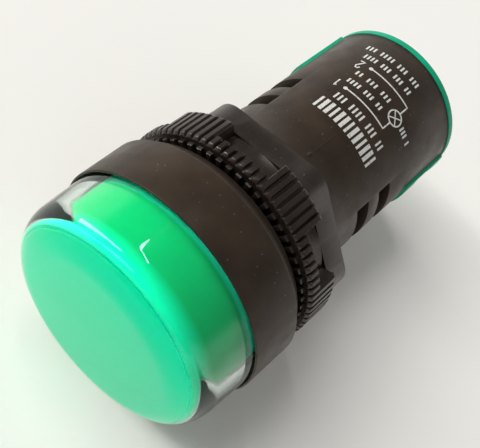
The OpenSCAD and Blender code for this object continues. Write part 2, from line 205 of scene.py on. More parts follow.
def solid_mesh(name, points, faces):
    """A closed mesh from points in millimetres, its faces turned outwards."""
    mesh = bpy.data.meshes.new(name)
    mesh.from_pydata([Vector(p) * mm for p in points], [], faces)
    shell = bmesh.new()
    shell.from_mesh(mesh)
    bmesh.ops.remove_doubles(shell, verts=shell.verts, dist=1e-7)
    bmesh.ops.recalc_face_normals(shell, faces=shell.faces)
    shell.to_mesh(mesh)
    shell.free()
    return mesh


def round_axis(radius, angle, y):
    """The point at a radius and an angle from the top, in degrees, at a station on the axis."""
    a = math.radians(angle)
    return (radius * math.sin(a), y, radius * math.cos(a))


def baked(made):
    """The object with its modifiers worked into a plain mesh."""
    bpy.context.view_layer.update()
    done = bpy.data.meshes.new_from_object(
        made.evaluated_get(bpy.context.evaluated_depsgraph_get()))
    made.modifiers.clear()
    made.data = done
    done.name = made.name
    return made


def eased(made, width, angle=32, steps=2):
    """The object with its sharp edges rounded, and shaded smooth between them."""
    bevel = made.modifiers.new("ease", "BEVEL")
    bevel.width, bevel.segments = width * mm, steps
    bevel.limit_method, bevel.angle_limit = "ANGLE", math.radians(angle)
    bevel.use_clamp_overlap = True
    bevel.miter_outer = "MITER_ARC"
    baked(made)
    shade(made, 40)
    return made


def shade(made, angle):
    """Smooth shading, broken at edges sharper than the angle."""
    mesh = made.data
    mesh.shade_smooth()
    mesh.set_sharp_from_angle(angle=math.radians(angle))


def arc(cx, cy, radius, start, end, steps):
    """Points on an arc in a profile of radius and station."""
    turns = [math.radians(start + (end - start) * i / steps) for i in range(steps + 1)]
    return [(cx + radius * math.cos(t), cy + radius * math.sin(t)) for t in turns]


def quarter_columns():
    """Angles from the side over a quarter turn, outside and inside, in step with the cuts."""
    outer, inner = [0.0], [0.0]
    for reach in (notch_width / 2, window_height / 2, sleeve_r):
        out_end = math.degrees(math.asin(min(reach / sleeve_r, 1)))
        in_end = math.degrees(math.asin(min(reach / bore_r, 1)))
        steps = math.ceil((out_end - outer[-1]) / 2.2)
        out_start, in_start = outer[-1], inner[-1]
        for i in range(1, steps + 1):
            outer.append(out_start + (out_end - out_start) * i / steps)
            inner.append(in_start + (in_end - in_start) * i / steps)
    return outer, inner


def whole_turn(quarter):
    """The quarter's angles mirrored twice, counted from the +X side."""
    half_turn = quarter + [180 - a for a in reversed(quarter[:-1])]
    return half_turn + [180 + a for a in half_turn[1:-1]]


def housing_mesh():
    """The whole moulding: its outline turned about the axis, open at the windows and notches."""
    cuts = [(c - window_width / 2, c + window_width / 2) for c in window_centres]
    stations = [neck_end + 0.35] + [y for cut in cuts for y in cut] + [notch_start, sleeve_end]
    inside = [-1.0, neck_end] + stations[1:-1]
    outline = [(sleeve_r, y, "wall") for y in reversed(stations)]
    outline += [(thread_root_r, neck_end - 0.1, "skin"), (thread_root_r, groove_floor, "skin"),
                (groove_r, groove_floor, "skin"), (groove_r, bezel_back, "skin"),
                (bezel_flat_r, bezel_back, "skin"), (bezel_r, bevel_start, "skin")]
    outline += [(x, y, "skin") for x, y in
                arc(lip_r - lip_edge, bezel_front + lip_edge, lip_edge, 0, -90, 5)]
    outline += [(recess_r, bezel_front, "bore"), (recess_r, lens_seat, "bore"),
                (chamber_r, lens_seat, "bore"), (chamber_r, chamber_floor, "bore"),
                (bore_r, chamber_floor, "bore")]
    outline += [(bore_r, y, "bore") for y in inside] + [(bore_r, sleeve_end, "bore")]
    quarter_out, quarter_in = quarter_columns()
    outer, inner = whole_turn(quarter_out), whole_turn(quarter_in)
    columns, rows = len(outer), len(outline)
    points = []
    for radius, y, kind in outline:
        angles = inner if kind == "bore" else outer
        points += [round_axis(radius, 90 - a, y) for a in angles]

    def across(column, height):
        middle = (outer[column] + (outer[(column + 1) % columns] or 360)) / 2
        return abs(math.sin(math.radians(middle))) * sleeve_r < height / 2

    def is_cut(column, y0, y1):
        middle = (y0 + y1) / 2
        in_window = any(a < middle < b for a, b in cuts) and across(column, window_height)
        return in_window or (middle > notch_start and across(column, notch_width))

    faces = []
    for row in range(rows):
        after = (row + 1) % rows
        y0, y1 = outline[row][1], outline[after][1]
        for column in range(columns):
            beside = (column + 1) % columns
            through = y0 > neck_end + 0.3 and y1 > neck_end + 0.3
            if through and is_cut(column, y0, y1):
                continue
            faces.append((row * columns + column, row * columns + beside,
                          after * columns + beside, after * columns + column))
    row_at = {(kind == "bore", round(y, 4)): i for i, (r, y, kind) in enumerate(outline)}

    def corner(is_bore, y, column):
        return row_at[is_bore, round(y, 4)] * columns + column % columns

    for start, end, height in [(*cut, window_height) for cut in cuts] + [
            (notch_start, sleeve_end, notch_width)]:
        for column in range(columns):
            if not across(column, height):
                continue
            for y in (start, end):
                if y != sleeve_end:
                    faces.append((corner(False, y, column), corner(False, y, column + 1),
                                  corner(True, y, column + 1), corner(True, y, column)))
            for edge, neighbour in ((column, column - 1), (column + 1, column + 1)):
                if not across(neighbour % columns, height):
                    faces.append((corner(False, start, edge), corner(False, end, edge),
                                  corner(True, end, edge), corner(True, start, edge)))
    return solid_mesh("housing_shell", points, faces)


def coords_scaled(tree, scale, kind="ShaderNodeTexNoise", **settings):
    """A texture of this scale, per millimetre, on the object's own coordinates."""
    place = node_at(tree, "ShaderNodeTexCoord")
    texture = node_at(tree, kind, **settings)
    texture.inputs["Scale"].default_value = scale / mm
    tree.links.new(place.outputs["Object"], texture.inputs["Vector"])
    return texture


def ramp(tree, source, low_at, low_value, high_at, high_value):
    """A value mapped from one range to another, clamped."""
    made = node_at(tree, "ShaderNodeMapRange")
    for socket, value in zip(("From Min", "From Max", "To Min", "To Max"),
                             (low_at, high_at, low_value, high_value)):
        made.inputs[socket].default_value = value
    tree.links.new(source, made.inputs["Value"])
    return made.outputs["Result"]


def blend_colour(tree, factor, first, second):
    """A colour between two, each a plain colour or a socket."""
    made = node_at(tree, "ShaderNodeMix", data_type="RGBA")
    for socket, value in ((made.inputs[6], first), (made.inputs[7], second)):
        if isinstance(value, tuple):
            socket.default_value = (*value, 1)
        else:
            tree.links.new(value, socket)
    tree.links.new(factor, made.inputs[0])
    return made.outputs[2]


def moulded_plastic(name, colour, paler, rough, grain=0.6, dust=0.0, specular=0.5,
                    sheen=(1.0, 1.0, 1.0)):
    """Moulded plastic: a cloudy colour, a fine mould grain, and pale dust specks."""
    finish = bpy.data.materials.new(name)
    finish.use_nodes = True
    tree = finish.node_tree
    skin = tree.nodes["Principled BSDF"]
    skin.inputs["Specular IOR Level"].default_value = specular
    skin.inputs["Specular Tint"].default_value = (*sheen, 1)
    cloud = coords_scaled(tree, 0.22)
    cloud.inputs["Detail"].default_value = 4
    shade_of = blend_colour(tree, ramp(tree, cloud.outputs["Fac"], 0.35, 0.0, 0.7, 1.0),
                            colour, paler)
    if dust:
        specks = coords_scaled(tree, 1.7, "ShaderNodeTexVoronoi", feature="F1")
        chance = node_at(tree, "ShaderNodeSeparateColor")
        tree.links.new(specks.outputs["Color"], chance.inputs["Color"])
        near = ramp(tree, specks.outputs["Distance"], 0.05, 1.0, 0.16, 0.0)
        some = ramp(tree, chance.outputs["Red"], 0.72, 0.0, 1.0, dust)
        seen = node_at(tree, "ShaderNodeMath", operation="MULTIPLY")
        tree.links.new(near, seen.inputs[0])
        tree.links.new(some, seen.inputs[1])
        shade_of = blend_colour(tree, seen.outputs[0], shade_of, (0.42, 0.38, 0.33))
    tree.links.new(shade_of, skin.inputs["Base Color"])
    smear = coords_scaled(tree, 0.5)
    smear.inputs["Detail"].default_value = 5
    tree.links.new(ramp(tree, smear.outputs["Fac"], 0.3, rough - 0.07, 0.7, rough + 0.08),
                   skin.inputs["Roughness"])
    texture = coords_scaled(tree, 9)
    texture.inputs["Detail"].default_value = 3
    relief = node_at(tree, "ShaderNodeBump")
    relief.inputs["Strength"].default_value = grain
    relief.inputs["Distance"].default_value = 0.012 * mm
    tree.links.new(texture.outputs["Fac"], relief.inputs["Height"])
    tree.links.new(relief.outputs["Normal"], skin.inputs["Normal"])
    return finish


black_plastic = moulded_plastic("black_moulding", (0.020, 0.013, 0.009), (0.036, 0.024, 0.016),
                                0.40, 0.5, dust=0.4, specular=0.3, sheen=(1.0, 0.86, 0.74))
housing = linked("housing_shell", housing_mesh())
eased(housing, EDGE)
housing.data.materials.append(black_plastic)
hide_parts("housing")
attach(housing, "lamp")

# ---- Lens cover and diffuser
# A clear cap pressed into the bezel over a milky green cap on the LED board. Both are mouldings
# with a rounded face edge. Shadow rays pass the clear one, so that the green is lit through it.
def cap_profile(base_r, face_r, base, face, round_r, wall, face_wall, inner_round, steps):
    """Half the outline of a cap, from its open edge over its face and back inside."""
    lean = math.degrees(math.atan2(base_r - face_r, base - face - round_r))
    return ([(base_r - wall, base), (base_r, base)]
            + arc(face_r - round_r, face + round_r, round_r, -lean, -90, steps)
            + [(0, face), (0, face + face_wall)]
            + arc(face_r - wall - inner_round, face + face_wall + inner_round,
                  inner_round, -90, 0, steps))


def turned_mesh(name, profile, columns):
    """A closed profile of radius and station, turned about the axis."""
    points, rings = [], []
    for radius, y in profile:
        if radius < 1e-6:
            rings.append([len(points)] * columns)
            points.append((0, y, 0))
        else:
            rings.append(list(range(len(points), len(points) + columns)))
            points += [round_axis(radius, 360 * c / columns, y) for c in range(columns)]
    faces = []
    for here, after in zip(rings, rings[1:] + rings[:1]):
        for c in range(columns):
            d = (c + 1) % columns
            corners = [here[c], here[d], after[d], after[c]]
            face = [v for i, v in enumerate(corners) if v not in corners[:i]]
            if len(face) > 2:
                faces.append(face)
    return solid_mesh(name, points, faces)


lens_face, lens_r = lens_low.y / mm, lens_high.x / mm
diffuser_low, diffuser_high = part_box("diffuser")
diffuser_face, diffuser_base = diffuser_low.y / mm, diffuser_high.y / mm
diffuser_r = diffuser_high.x / mm
cover_round, cover_wall, cover_draft, cover_columns = 4.1, 1.2, 0.3, 192
cover_face, cover_inner_round = 1.85, 0.8
PRESSED_IN = 0.02         # the diffuser's face is pressed into the cover's by a hair
diffuser_wall, diffuser_round, diffuser_draft, diffuser_columns = 1.0, 0.8, 0.1, 144
cover = linked("clear_cover", turned_mesh("clear_cover", cap_profile(
    lens_r, lens_r - cover_draft, lens_seat, lens_face, cover_round, cover_wall, cover_face,
    cover_inner_round, 14), cover_columns))
shade(cover, 40)
diffuser = linked("green_diffuser", turned_mesh("green_diffuser", cap_profile(
    diffuser_r, diffuser_r - diffuser_draft, diffuser_base, lens_face + cover_face - PRESSED_IN,
    diffuser_round, diffuser_wall, diffuser_wall, diffuser_round / 2, 10), diffuser_columns))
shade(diffuser, 40)

clear_plastic = bpy.data.materials.new("clear_acrylic")
clear_plastic.use_nodes = True
tree = clear_plastic.node_tree
glass = tree.nodes["Principled BSDF"]
glass.inputs["Base Color"].default_value = (0.80, 0.93, 0.86, 1)
glass.inputs["Specular Tint"].default_value = (0.45, 0.90, 0.72, 1)
glass.inputs["Transmission Weight"].default_value = 1
glass.inputs["IOR"].default_value = 1.45
glass.inputs["Roughness"].default_value = 0.015
lets_light = node_at(tree, "ShaderNodeBsdfTransparent")
lets_light.inputs["Color"].default_value = (0.93, 0.96, 0.94, 1)
path = node_at(tree, "ShaderNodeLightPath")
either = node_at(tree, "ShaderNodeMixShader")
tree.links.new(path.outputs["Is Shadow Ray"], either.inputs[0])
tree.links.new(glass.outputs[0], either.inputs[1])
tree.links.new(lets_light.outputs[0], either.inputs[2])
tree.links.new(either.outputs[0], tree.nodes["Material Output"].inputs["Surface"])
cover.data.materials.append(clear_plastic)
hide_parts("lens_cover")
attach(cover, "lamp")

milky_green = bpy.data.materials.new("milky_green")
milky_green.use_nodes = True
tree = milky_green.node_tree
milk = tree.nodes["Principled BSDF"]
milk.inputs["Roughness"].default_value = 0.5
milk.inputs["Specular IOR Level"].default_value = 0.0
milk.inputs["Subsurface Weight"].default_value = 0.35
milk.inputs["Subsurface Radius"].default_value = (0.2 * mm, 1.5 * mm, 0.9 * mm)
milk.inputs["Subsurface Scale"].default_value = 1.0
place = node_at(tree, "ShaderNodeTexCoord")
along = node_at(tree, "ShaderNodeSeparateXYZ")
tree.links.new(place.outputs["Object"], along.inputs[0])
deep = ramp(tree, along.outputs["Y"], (diffuser_face + 0.6) * mm, 0.0,
            (diffuser_face + 2.4) * mm, 1.0)
body_green = blend_colour(tree, deep, (0.0, 0.92, 0.52), (0.0, 0.40, 0.13))
# Painted light: a paler, brighter green band round the diffuser's foot, from just in front of the
# lens seat back to its base, stands in for the glow of light that the clear cover carries out at its
# base edge.
foot = ramp(tree, along.outputs["Y"], (lens_seat - 1.1) * mm, 0.0, (lens_seat - 0.5) * mm, 1.0)
tree.links.new(blend_colour(tree, foot, body_green, (0.02, 0.95, 0.62)),
               milk.inputs["Base Color"])
diffuser.data.materials.append(milky_green)
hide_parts("diffuser")
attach(diffuser, "lamp")

# ---- Ring nut
# One black moulding that screws up behind the panel: a ribbed collar, a tier whose ribs run on
# only at the six corners, and a hexagonal tier. Small grips stand on its front, towards the panel.
nut_low, nut_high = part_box("ring_nut")
grips_front, nut_rear = nut_low.y / mm, nut_high.y / mm
nut_front, collar_end, ribs_end = 0.75, 2.4, 5.3
nut_turned = 11.0                     # where the first corner stands, from the top
nut_bore_r, nut_thread_r = 11.15, 10.96
rib_root_r, rib_crest_r, hexagon_flat_r, hexagon_round = 13.65, 14.1, 12.1, 2.8
ribs_round, ribs_at_a_corner, grips_round = 84, 7, 60
grip_inner_r, grip_outer_r = 11.7, 13.15
corner_half = 14.0


def hexagon_radius(off):
    """Distance from the axis to the rounded hexagon, off degrees from its nearest corner."""
    middle = (hexagon_flat_r - hexagon_round) / math.cos(math.radians(30))
    tangent = 30 - math.degrees(math.atan(middle * 0.5 / hexagon_flat_r))
    if abs(off) <= tangent:
        t = math.radians(off)
        return middle * math.cos(t) + math.sqrt(hexagon_round ** 2 - (middle * math.sin(t)) ** 2)
    return hexagon_flat_r / math.cos(math.radians(30 - abs(off)))


def nut_mesh():
    """The nut without its ribs and grips: collar, round tier, hexagonal tier and bore."""
    corner = [-corner_half, -10, -8, -6.07, -4, -2, 0, 2, 4, 6.07, 8, 10, corner_half]
    between = [corner_half + (60 - 2 * corner_half) * i / 16 for i in range(17)]
    columns = []
    for k in range(6):
        columns += [(60 * k + t, True, t) for t in corner]
        columns += [(60 * k + t, False, t if t < 30 else t - 60) for t in between]
    rings = []
    for angle, at_corner, off in columns:
        tier = rib_root_r if at_corner else hexagon_flat_r
        back = hexagon_radius(off)
        rings.append([round_axis(r, nut_turned + angle, y) for r, y in (
            (nut_bore_r, nut_front), (rib_root_r, nut_front), (rib_root_r, collar_end),
            (tier, collar_end), (tier, ribs_end), (back, ribs_end), (back, nut_rear),
            (nut_bore_r + 0.4, nut_rear), (nut_bore_r, nut_rear - 0.4))])
    rows, points, faces = len(rings[0]), [p for ring in rings for p in ring], []
    for c in range(len(rings)):
        d = (c + 1) % len(rings)
        for row in range(rows):
            after = (row + 1) % rows
            faces.append((c * rows + row, c * rows + after, d * rows + after, d * rows + row))
    return solid_mesh("ring_nut_body", points, faces)


def without_slivers(mesh):
    """The mesh with its doubled corners merged, and the faces that this leaves flat taken out."""
    shell = bmesh.new()
    shell.from_mesh(mesh)
    bmesh.ops.remove_doubles(shell, verts=shell.verts, dist=2e-6)
    bmesh.ops.dissolve_degenerate(shell, edges=shell.edges, dist=2e-6)
    bmesh.ops.recalc_face_normals(shell, faces=shell.faces)
    shell.to_mesh(mesh)
    shell.free()
    return mesh


def rib_mesh(name, end, runs_out):
    """One rib at the top of the nut, rounded along its crest and at its ends."""
    high = rib_crest_r - rib_root_r
    stations = [(nut_front - 0.02, 0.0), (nut_front + 0.07, 0.4), (nut_front + 0.2, 0.76),
                (nut_front + 0.36, 0.95), (nut_front + 0.5, 1.0)]
    if runs_out:
        stations += [(end - 0.5, 1.0), (end - 0.3, 0.9), (end - 0.12, 0.6), (end, 0.05)]
    else:
        stations += [(end - 0.08, 1.0), (end, 0.85)]
    points, faces = [], []
    for y, share in stations:
        top = rib_root_r + high * share
        shoulder = max(top - 0.1, rib_root_r - 0.05)
        waist = 0.41 - 0.06 * share
        points += [(-0.415, y, rib_root_r - 0.2), (-0.415, y, rib_root_r - 0.03),
                   (-waist, y, shoulder), (-waist + 0.09, y, top), (waist - 0.09, y, top),
                   (waist, y, shoulder), (0.415, y, rib_root_r - 0.03),
                   (0.415, y, rib_root_r - 0.2)]
    for i in range(len(stations) - 1):
        for k in range(8):
            n = (k + 1) % 8
            faces.append((8 * i + k, 8 * i + n, 8 * i + 8 + n, 8 * i + 8 + k))
    faces += [tuple(range(8)), tuple(8 * (len(stations) - 1) + k for k in range(8))]
    return solid_mesh(name, points, faces)


def grip_mesh():
    """One grip at the top of the nut's front: a small block with rounded front edges."""
    wide = math.radians(90 / grips_round)
    x_in, x_out = grip_inner_r * math.sin(wide), grip_outer_r * math.sin(wide)
    layers = ((nut_front + 0.05, 0.0), (grips_front + 0.12, 0.0), (grips_front + 0.03, 0.05),
              (grips_front, 0.13))
    points, faces = [], []
    for y, drawn in layers:
        points += [(-x_in + drawn, y, grip_inner_r + drawn), (x_in - drawn, y, grip_inner_r + drawn),
                   (x_out - drawn, y, grip_outer_r - drawn),
                   (-x_out + drawn, y, grip_outer_r - drawn)]
    for i in range(len(layers) - 1):
        for k in range(4):
            n = (k + 1) % 4
            faces.append((4 * i + k, 4 * i + n, 4 * i + 4 + n, 4 * i + 4 + k))
    faces += [(0, 1, 2, 3), tuple(4 * (len(layers) - 1) + k for k in range(4))]
    return solid_mesh("grip", points, faces)


def new_tree(name, inputs):
    """An empty Geometry Nodes tree with a geometry in and out, and these named inputs."""
    tree = bpy.data.node_groups.new(name, "GeometryNodeTree")
    tree.interface.new_socket("Geometry", in_out="INPUT", socket_type="NodeSocketGeometry")
    for label, kind in inputs:
        tree.interface.new_socket(label, in_out="INPUT", socket_type="NodeSocket" + kind)
    tree.interface.new_socket("Geometry", in_out="OUTPUT", socket_type="NodeSocketGeometry")
    return tree, tree.nodes.new("NodeGroupInput"), tree.nodes.new("NodeGroupOutput")


def sum_of(tree, operation, first, second):
    """A Math node's result, from sockets or plain numbers."""
    made = node_at(tree, "ShaderNodeMath", operation=operation)
    for socket, value in zip(made.inputs, (first, second)):
        if isinstance(value, (int, float)):
            socket.default_value = value
        else:
            tree.links.new(value, socket)
    return made.outputs[0]


def finished_copies(tree, geometry, given, out):
    """The tree's last nodes: real copies of every instance, in the given material."""
    real = tree.nodes.new("GeometryNodeRealizeInstances")
    coat = tree.nodes.new("GeometryNodeSetMaterial")
    tree.links.new(geometry, real.inputs[0])
    tree.links.new(real.outputs[0], coat.inputs[0])
    tree.links.new(given.outputs["Material"], coat.inputs["Material"])
    tree.links.new(coat.outputs[0], out.inputs[0])


ring_of_copies, given, out = new_tree("ring_of_copies", [
    ("Copies", "Int"), ("In each group", "Int"), ("Group pitch", "Float"), ("Pitch", "Float"),
    ("Start", "Float"), ("Material", "Material")])
spots = ring_of_copies.nodes.new("GeometryNodePoints")
ring_of_copies.links.new(given.outputs["Copies"], spots.inputs["Count"])
number = ring_of_copies.nodes.new("GeometryNodeInputIndex").outputs[0]
size_of_group = given.outputs["In each group"]
group_number = sum_of(ring_of_copies, "FLOOR", sum_of(
    ring_of_copies, "DIVIDE", sum_of(ring_of_copies, "ADD", number, 0.5), size_of_group), 0)
in_group = sum_of(ring_of_copies, "SUBTRACT", number,
                  sum_of(ring_of_copies, "MULTIPLY", group_number, size_of_group))
from_middle = sum_of(ring_of_copies, "SUBTRACT", in_group, sum_of(
    ring_of_copies, "DIVIDE", sum_of(ring_of_copies, "SUBTRACT", size_of_group, 1), 2))
turned = sum_of(ring_of_copies, "ADD", given.outputs["Start"], sum_of(
    ring_of_copies, "ADD",
    sum_of(ring_of_copies, "MULTIPLY", group_number, given.outputs["Group pitch"]),
    sum_of(ring_of_copies, "MULTIPLY", from_middle, given.outputs["Pitch"])))
about_axis = ring_of_copies.nodes.new("ShaderNodeCombineXYZ")
ring_of_copies.links.new(turned, about_axis.inputs["Y"])
placed = ring_of_copies.nodes.new("GeometryNodeInstanceOnPoints")
ring_of_copies.links.new(spots.outputs[0], placed.inputs["Points"])
ring_of_copies.links.new(given.outputs["Geometry"], placed.inputs["Instance"])
ring_of_copies.links.new(about_axis.outputs[0], placed.inputs["Rotation"])
finished_copies(ring_of_copies, placed.outputs[0], given, out)


def made_by_nodes(name, mesh, tree, **values):
    """A new object of the mesh, worked by the tree with these named values."""
    made = linked(name, mesh)
    step = made.modifiers.new("nodes", "NODES")
    step.node_group = tree
    sockets = {i.name.replace(" ", "_"): i.identifier for i in tree.interface.items_tree
               if i.item_type == "SOCKET" and i.in_out == "INPUT"}
    for label, value in values.items():
        step[sockets[label]] = value
    return baked(made)


nut_plastic = moulded_plastic("black_nut_moulding", (0.014, 0.010, 0.008),
                              (0.022, 0.016, 0.013), 0.27, 0.4, dust=0.25, specular=0.45,
                              sheen=(1.0, 0.88, 0.80))
nut_body = linked("ring_nut_body", without_slivers(nut_mesh()))
eased(nut_body, 0.14)
nut_body.data.materials.append(nut_plastic)
rib_pitch = math.radians(360 / ribs_round)
first_corner = math.radians(nut_turned)
collar_ribs = made_by_nodes(
    "collar_ribs", rib_mesh("short_rib", collar_end, False), ring_of_copies,
    Copies=42, In_each_group=ribs_at_a_corner, Group_pitch=math.radians(60), Pitch=rib_pitch,
    Start=first_corner + math.radians(30), Material=nut_plastic)
corner_ribs = made_by_nodes(
    "corner_ribs", rib_mesh("long_rib", ribs_end - 0.02, True), ring_of_copies,
    Copies=42, In_each_group=ribs_at_a_corner, Group_pitch=math.radians(60), Pitch=rib_pitch,
    Start=first_corner, Material=nut_plastic)
front_grips = made_by_nodes(
    "front_grips", grip_mesh(), ring_of_copies, Copies=grips_round, In_each_group=1,
    Group_pitch=math.radians(360 / grips_round), Pitch=0.0, Start=first_corner,
    Material=nut_plastic)

# A thread is a flank profile swept along a helix. The same tree cuts the nut's and the neck's.
thread_of, given, out = new_tree("thread", [
    ("Turns", "Float"), ("Pitch", "Float"), ("Radius", "Float"), ("Begin", "Float"),
    ("Crest", "Float"), ("Root", "Float"), ("Material", "Material")])
coil = thread_of.nodes.new("GeometryNodeCurveSpiral")
coil.inputs["Resolution"].default_value = 64
for label, socket in (("Turns", "Rotations"), ("Radius", "Start Radius"),
                      ("Radius", "End Radius")):
    thread_of.links.new(given.outputs[label], coil.inputs[socket])
thread_of.links.new(sum_of(thread_of, "MULTIPLY", given.outputs["Turns"],
                           given.outputs["Pitch"]), coil.inputs["Height"])
fixed_up = node_at(thread_of, "GeometryNodeSetCurveNormal")
fixed_up.mode = "Z_UP"
thread_of.links.new(coil.outputs[0], fixed_up.inputs["Curve"])
flank = thread_of.nodes.new("GeometryNodeCurvePrimitiveQuadrilateral")
flank.mode = "TRAPEZOID"
for label, socket in (("Root", "Bottom Width"), ("Crest", "Top Width")):
    thread_of.links.new(given.outputs[label], flank.inputs[socket])
flank.inputs["Height"].default_value = 0.36 * mm
flank.inputs["Offset"].default_value = 0.0
swept = thread_of.nodes.new("GeometryNodeCurveToMesh")
swept.inputs["Fill Caps"].default_value = True
thread_of.links.new(fixed_up.outputs[0], swept.inputs["Curve"])
thread_of.links.new(flank.outputs[0], swept.inputs["Profile Curve"])
moved = thread_of.nodes.new("GeometryNodeTransform")
moved.inputs["Rotation"].default_value = (math.radians(-90), 0, 0)
shift = thread_of.nodes.new("ShaderNodeCombineXYZ")
thread_of.links.new(given.outputs["Begin"], shift.inputs["Y"])
thread_of.links.new(swept.outputs[0], moved.inputs["Geometry"])
thread_of.links.new(shift.outputs[0], moved.inputs["Translation"])
finished_copies(thread_of, moved.outputs[0], given, out)


def thread_piece(name, radius, start, end, crest, root, finish):
    """A thread on or in a cylinder, its ridge's middle at the radius."""
    turns = (end - start) / thread_pitch
    made = made_by_nodes(name, bpy.data.meshes.new(name), thread_of, Turns=turns,
                         Pitch=thread_pitch * mm, Radius=radius * mm, Begin=start * mm,
                         Crest=crest * mm, Root=root * mm, Material=finish)
    shell = bmesh.new()
    shell.from_mesh(made.data)
    bmesh.ops.remove_doubles(shell, verts=shell.verts, dist=1e-7)
    bmesh.ops.recalc_face_normals(shell, faces=shell.faces)
    shell.to_mesh(made.data)
    shell.free()
    shade(made, 30)
    return made


nut_thread = thread_piece("nut_thread", nut_thread_r + 0.18, nut_front + 0.5, nut_rear - 0.9,
                          1.15, 0.45, nut_plastic)
for piece in (nut_body, collar_ribs, corner_ribs, front_grips, nut_thread):
    shade(piece, 38)
    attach(piece, "ring_nut")
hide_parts("ring_nut")
neck_thread = thread_piece("neck_thread", thread_crest_r - 0.18, 0.9, neck_end - 0.7, 0.45, 1.15,
                           black_plastic)
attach(neck_thread, "lamp")

# ---- Wiring print
# A pale print on the top of the sleeve, pad-printed after moulding and a little worn. It shows
# the two terminals and the lamp between them; bars and dashes stand where wording would be.
PRINT_PROUD, LINE = 0.014, 0.2
ROUND_THE_SLEEVE = math.radians(1) * sleeve_r      # millimetres round the sleeve in one degree


def stroke(*places, width=LINE):
    """A printed line through places given as (station, degrees round from the top)."""
    path = [Vector((y, degrees * ROUND_THE_SLEEVE)) for y, degrees in places]
    fine = [path[0]]
    for here, there in zip(path, path[1:]):
        steps = max(1, math.ceil((there - here).length / 0.45))
        fine += [here.lerp(there, i / steps) for i in range(1, steps + 1)]
    sides = []
    for i, here in enumerate(fine):
        before, after = fine[max(i - 1, 0)], fine[min(i + 1, len(fine) - 1)]
        ahead = (after - before).normalized()
        sides.append((here, Vector((-ahead.y, ahead.x)) * width / 2))
    return sides


def print_mesh(strokes):
    """Thin closed strips for all the strokes, wrapped on the sleeve."""
    points, faces = [], []
    for sides in strokes:
        first = len(points)
        for here, out in sides:
            for spot, radius in ((here - out, -0.03), (here + out, -0.03),
                                 (here + out, PRINT_PROUD), (here - out, PRINT_PROUD)):
                points.append(round_axis(sleeve_r + radius, spot.y / ROUND_THE_SLEEVE, spot.x))
        for i in range(len(sides) - 1):
            for k in range(4):
                n = (k + 1) % 4
                at = first + 4 * i
                faces.append((at + k, at + n, at + 4 + n, at + 4 + k))
        faces += [tuple(range(first, first + 4)),
                  tuple(range(len(points) - 4, len(points)))]
    mesh = bpy.data.meshes.new("wiring_print")
    mesh.from_pydata([Vector(p) * mm for p in points], [], faces)
    shell = bmesh.new()
    shell.from_mesh(mesh)
    bmesh.ops.recalc_face_normals(shell, faces=shell.faces)
    shell.to_mesh(mesh)
    shell.free()
    return mesh


def ring_stroke(y, degrees, radius, width=LINE):
    """A printed ring about a place on the sleeve."""
    turn = [math.radians(15 * i) for i in range(25)]
    return stroke(*[(y + radius * math.cos(t),
                     degrees + radius * math.sin(t) / ROUND_THE_SLEEVE) for t in turn],
                  width=width)


strokes = []
for i in range(13):                                    # a band of broad bars
    at = -26.5 + 4.45 * i
    strokes.append(stroke((17.05, at), (19.15, at), width=0.5 if i % 3 else 0.34))
near_wire, far_wire, lamp_y, lamp_at, lamp_round = 22.25, 27.5, 24.85, 14.6, 1.05
strokes += [
    stroke((near_wire, -22), (near_wire, lamp_at), (lamp_y - lamp_round, lamp_at)),
    stroke((far_wire, -22), (far_wire, lamp_at), (lamp_y + lamp_round, lamp_at)),
    ring_stroke(lamp_y, lamp_at, lamp_round), ring_stroke(near_wire, -22, 0.14, 0.28),
    ring_stroke(far_wire, -22, 0.14, 0.28)]
for across in (-1, 1):                                 # the cross in the lamp's ring
    reach = lamp_round * 0.7
    lean = across * reach / ROUND_THE_SLEEVE
    strokes.append(stroke((lamp_y - reach, lamp_at - lean), (lamp_y + reach, lamp_at + lean),
                          width=0.16))
strokes += [
    stroke((22.0, -28.6), (21.75, -30), (23.1, -30)),                       # 1
    stroke((26.75, -28.6), (26.4, -29.6), (26.4, -31.2), (26.8, -32), (27.9, -28.4),
           (27.9, -32.2))]                                                  # 2


def row_of_bars(y, start, end, tall, groups):
    """A row of short upright bars in groups, where a line of wording would be."""
    pitch = (end - start) / (sum(groups) + len(groups) - 1)
    at = start
    for size in groups:
        for i in range(size):
            strokes.append(stroke((y - tall / 2, at), (y + tall / 2, at), width=0.26))
            at += pitch
        at += pitch


row_of_bars(20.45, -22, 27, 1.15, (3, 4, 3, 2))
row_of_bars(23.75, -25.5, 6, 0.8, (4, 3, 2))
row_of_bars(25.6, -26, 6, 0.8, (2, 3, 3))
row_of_bars(25.0, 23.5, 37, 0.9, (3, 1))
row_of_bars(29.1, -33, 10, 0.85, (4, 3, 3, 2))
row_of_bars(30.9, -38, 10, 0.85, (3, 4, 3, 3))
wiring_print = linked("wiring_print", print_mesh(strokes))

ink = bpy.data.materials.new("pale_ink")
ink.use_nodes = True
tree = ink.node_tree
skin = tree.nodes["Principled BSDF"]
skin.inputs["Roughness"].default_value = 0.55
worn = coords_scaled(tree, 3.2)
worn.inputs["Detail"].default_value = 6
worn.inputs["Roughness"].default_value = 0.7
tree.links.new(blend_colour(tree, ramp(tree, worn.outputs["Fac"], 0.30, 0.0, 0.44, 1.0),
                            (0.09, 0.085, 0.08), (0.60, 0.60, 0.57)), skin.inputs["Base Color"])
wiring_print.data.materials.append(ink)
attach(wiring_print, "lamp")

